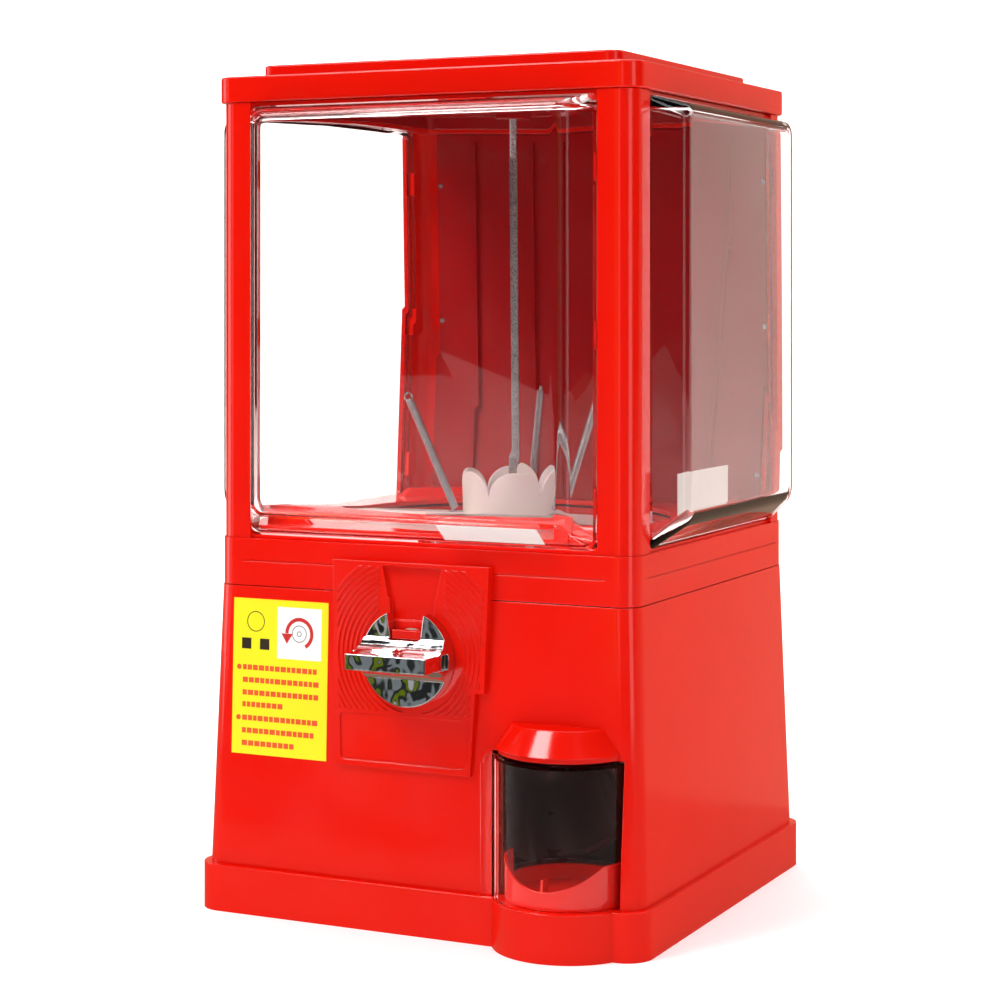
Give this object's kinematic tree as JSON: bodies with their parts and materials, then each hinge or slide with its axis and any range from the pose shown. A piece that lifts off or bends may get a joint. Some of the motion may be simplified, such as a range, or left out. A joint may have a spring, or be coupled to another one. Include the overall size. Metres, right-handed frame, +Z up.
{
  "type": "capsule toy vendor",
  "caption": "Counter-top capsule toy vendor with clear windows, a turning dispensing wheel, a chrome turn knob, a capsule outlet with a clear door and a lift-off lid.",
  "frame": {"origin": "centre of the underside of the base, on the axis of the centre rod", "axes": "+Z up, -Y towards the front with the knob, +X towards the outlet's side"},
  "size_m": [0.309, 0.302, 0.5066],
  "materials": {
    "red_abs": "glossy moulded ABS, orange red",
    "dark_red_abs": "glossy moulded ABS, dark red",
    "clear_window": "clear moulded acrylic with a faint pink cast",
    "steel": "bright zinc-plated steel",
    "spring_steel": "zinc-plated spring wire",
    "black_plastic": "moulded black, satin",
    "nylon": "natural nylon, satin",
    "white_plastic": "white moulded polypropylene, satin",
    "chrome": "chrome-plated casting, polished",
    "yellow_label": "printed vinyl label, semi-gloss",
    "white_label": "plain white card"
  },
  "bodies": {
    "root": {"base_skirt": "red_abs", "lower_cabinet": "red_abs", "hopper_band": "red_abs", "upper_frame": "red_abs", "back_panel": "red_abs", "front_window": "clear_window", "left_window": "clear_window", "right_window": "clear_window", "window_clips": "red_abs", "panel_screws": "steel", "hopper_funnel": "red_abs", "capsule_baffle": "steel", "hopper_floor": "red_abs", "chute_elbow": "dark_red_abs", "outlet_housing": "dark_red_abs", "outlet_tray": "red_abs", "outlet_cap": "red_abs", "door_pivot_screw": "black_plastic", "mech_plate": "red_abs", "mech_box": "black_plastic", "mech_screws": "steel", "front_bush": "nylon", "rear_bush": "nylon", "pawl_pin": "steel", "pawl_spring": "spring_steel", "thrust_washer": "nylon", "center_rod": "steel", "rod_nuts": "steel", "base_screws": "steel", "deck_screws": "steel", "frame_screws": "steel", "notice_label": "yellow_label", "window_label_strip": "white_label", "display_card": "white_label"},
    "wheel": {"hopper_wheel": "white_plastic", "wheel_bush": "black_plastic", "petal_crown": "white_plastic", "spring_bolts": "steel", "agitator_spring_1": "spring_steel", "agitator_spring_2": "spring_steel", "agitator_spring_3": "spring_steel"},
    "knob": {"turn_knob": "chrome", "coin_carrier": "red_abs", "drive_shaft": "steel", "drive_gear": "nylon", "ratchet_wheel": "nylon", "shaft_clip": "steel"},
    "door": {"outlet_door": "clear_window"},
    "lid": {"lid": "red_abs", "lid_liner": "dark_red_abs"},
    "lock": {"lid_lock": "chrome"},
    "pawl": {"pawl": "black_plastic"}
  },
  "joints": [
    {"name": "wheel_spin", "type": "hinge", "parent": "root", "child": "wheel", "pos_m": [0, 0, 0.19], "axis": [0, 0, 1], "continuous": true},
    {"name": "knob_turn", "type": "hinge", "parent": "root", "child": "knob", "pos_m": [0, -0.125, 0.1595], "axis": [0, 1, 0], "continuous": true},
    {"name": "door_swing", "type": "hinge", "parent": "root", "child": "door", "pos_m": [0.0905, -0.1145, 0.068], "axis": [0, 0, 1], "range_deg": [0, 110]},
    {"name": "lid_lift", "type": "slide", "parent": "root", "child": "lid", "axis": [0, 0, 1], "range_m": [0, 0.06]},
    {"name": "lock_turn", "type": "hinge", "parent": "lid", "child": "lock", "pos_m": [0, 0, 0.5], "axis": [0, 0, 1], "continuous": true},
    {"name": "pawl_rock", "type": "hinge", "parent": "root", "child": "pawl", "pos_m": [-0.04, -0.118, 0.1835], "axis": [0, -1, 0], "range_deg": [-3.5, 8], "stiffness_Nm_per_rad": 0.02, "springref_deg": -11.46}
  ],
  "couplings": [
    {"joint": "knob_turn", "follows": "wheel_spin", "ratio": 3}
  ]
}
